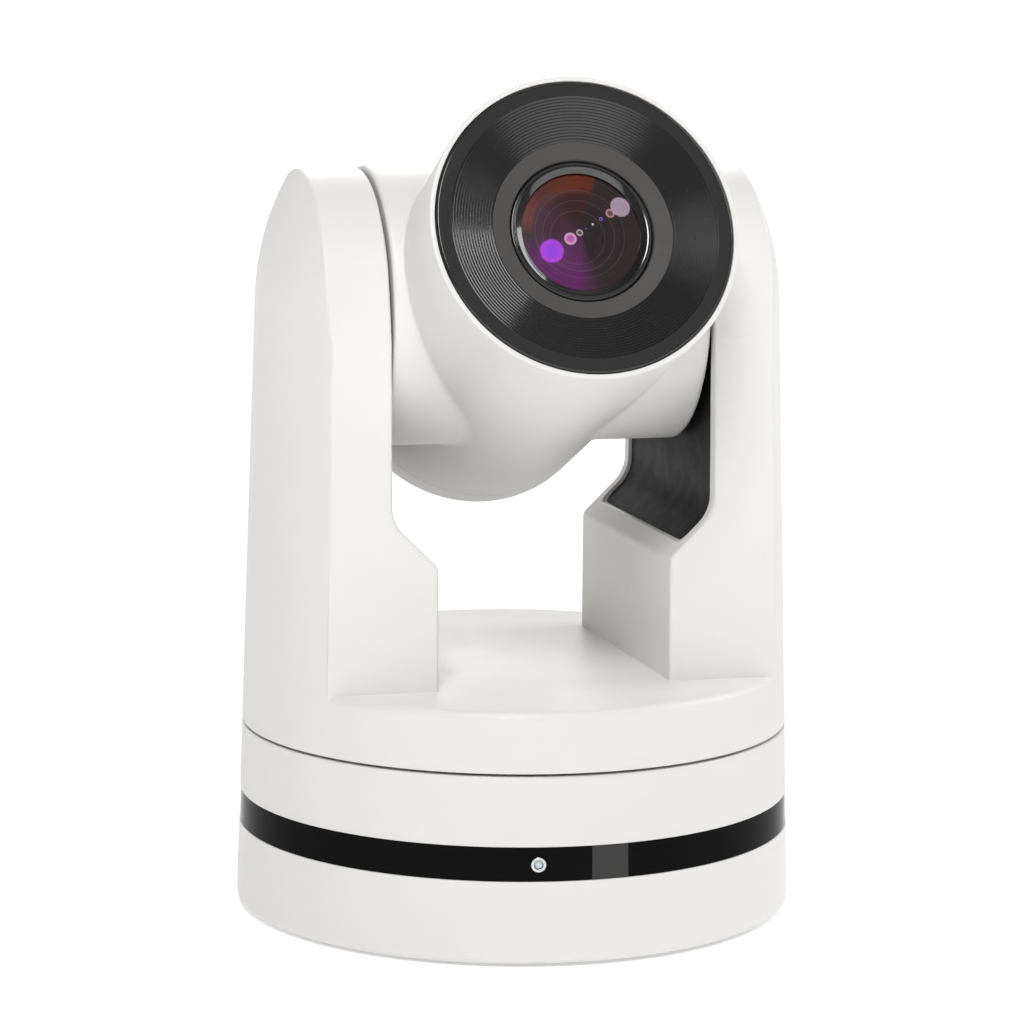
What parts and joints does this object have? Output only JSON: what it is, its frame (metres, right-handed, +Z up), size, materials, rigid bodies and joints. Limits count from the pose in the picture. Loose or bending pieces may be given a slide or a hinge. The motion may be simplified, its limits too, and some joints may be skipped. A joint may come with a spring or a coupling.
{
  "type": "pan-tilt-zoom camera",
  "caption": "Round base with a black band, a two-armed yoke that pans on it, and a tilting camera head with a ribbed black lens ring.",
  "frame": {"origin": "mouth of the tripod socket, on the pan axis and level with the soles of the feet", "axes": "+Z up along the pan axis, -Y the front of the base with the status light, +X to the left of the camera itself (right of a viewer facing it)"},
  "size_m": [0.1449, 0.1501, 0.2168],
  "materials": {
    "white_shell": "fine satin, warm white",
    "black_band": "polished black, infrared-clear",
    "grey_window": "polished dark grey, infrared-clear",
    "bright_metal": "polished",
    "lamp_lens": "clear, slightly frosted",
    "rubber": "matt",
    "cast_metal": "bead-blasted casting",
    "steel": "zinc plated",
    "dark_cover": "satin dark grey",
    "black_ring": "fine satin black",
    "black_rim": "gloss black",
    "inner_black": "matt black",
    "coated_glass": "polished and coated",
    "circuit_board": "green solder mask",
    "motor_case": "plain steel",
    "gear_plastic": "natural acetal",
    "socket_metal": "nickel plated",
    "socket_plastic": "matt black",
    "brass": "turned"
  },
  "bodies": {
    "base": {"base_housing": "white_shell", "bottom_plate": "cast_metal", "base_screws": "steel", "rubber_feet": "rubber", "front_band": "black_band", "receiver_window": "grey_window", "receiver_module": "socket_plastic", "led_bezel": "bright_metal", "status_light": "lamp_lens", "main_board": "circuit_board", "pan_frame": "steel", "pan_bearing": "bright_metal", "pan_motor": "motor_case", "io_panel": "dark_cover", "lan_socket": "socket_metal", "hdmi_socket": "socket_metal", "video_out": "bright_metal", "serial_sockets": "socket_plastic", "audio_socket": "socket_plastic", "power_socket": "socket_plastic"},
    "pan_drive": {"pan_pinion": "brass"},
    "yoke": {"yoke_housing": "white_shell", "right_inner_cover": "dark_cover", "left_inner_cover": "dark_cover", "yoke_plate": "steel", "right_upright": "steel", "left_upright": "steel", "right_tilt_bearing": "bright_metal", "left_tilt_bearing": "bright_metal", "tilt_motor": "motor_case", "driver_board": "circuit_board", "pan_shaft": "cast_metal", "pan_clip": "steel", "pan_gear": "gear_plastic", "pan_cable": "socket_plastic", "yoke_screws": "steel"},
    "tilt_drive": {"tilt_pinion": "brass"},
    "head": {"head_shell": "white_shell", "head_rear_cap": "white_shell", "right_drum_cap": "white_shell", "left_drum_cap": "white_shell", "front_ring": "black_ring", "lens_rim": "black_rim", "front_glass": "coated_glass", "second_lens": "coated_glass", "lens_tube": "inner_black", "guide_rods": "steel", "iris_unit": "inner_black", "camera_block": "inner_black", "image_sensor": "socket_plastic", "sensor_board": "circuit_board", "video_board": "circuit_board", "head_bracket": "steel", "right_trunnion": "cast_metal", "left_trunnion": "cast_metal", "tilt_gear": "gear_plastic"},
    "zoom_group": {"zoom_carriage": "inner_black", "zoom_lens": "coated_glass"},
    "focus_group": {"focus_carriage": "inner_black", "focus_lens": "coated_glass"}
  },
  "joints": [
    {"name": "pan", "type": "hinge", "parent": "base", "child": "yoke", "pos_m": [0, 0, 0.045], "axis": [0, 0, 1], "range_deg": [-180.24, 159.76]},
    {"name": "tilt", "type": "hinge", "parent": "yoke", "child": "head", "pos_m": [0, 0, 0.1568], "axis": [-0.9841, -0.1778, 0], "range_deg": [-54, 66]},
    {"name": "pan_drive_spin", "type": "hinge", "parent": "base", "child": "pan_drive", "pos_m": [-0.02661, -0.03801, 0.05], "axis": [0, 0, 1], "range_deg": [-1010, 1140]},
    {"name": "tilt_drive_spin", "type": "hinge", "parent": "yoke", "child": "tilt_drive", "pos_m": [0.04704, 0.0085, 0.132], "axis": [-0.9841, -0.1778, 0], "range_deg": [-280, 230]},
    {"name": "zoom", "type": "slide", "parent": "head", "child": "zoom_group", "axis": [-0.1624, 0.899, -0.4067], "range_m": [-0.008, 0.012]},
    {"name": "focus", "type": "slide", "parent": "head", "child": "focus_group", "axis": [-0.1624, 0.899, -0.4067], "range_m": [-0.005, 0.005]}
  ],
  "couplings": [
    {"joint": "pan_drive_spin", "follows": "pan", "ratio": -6.25},
    {"joint": "tilt_drive_spin", "follows": "tilt", "ratio": -4.1667}
  ]
}
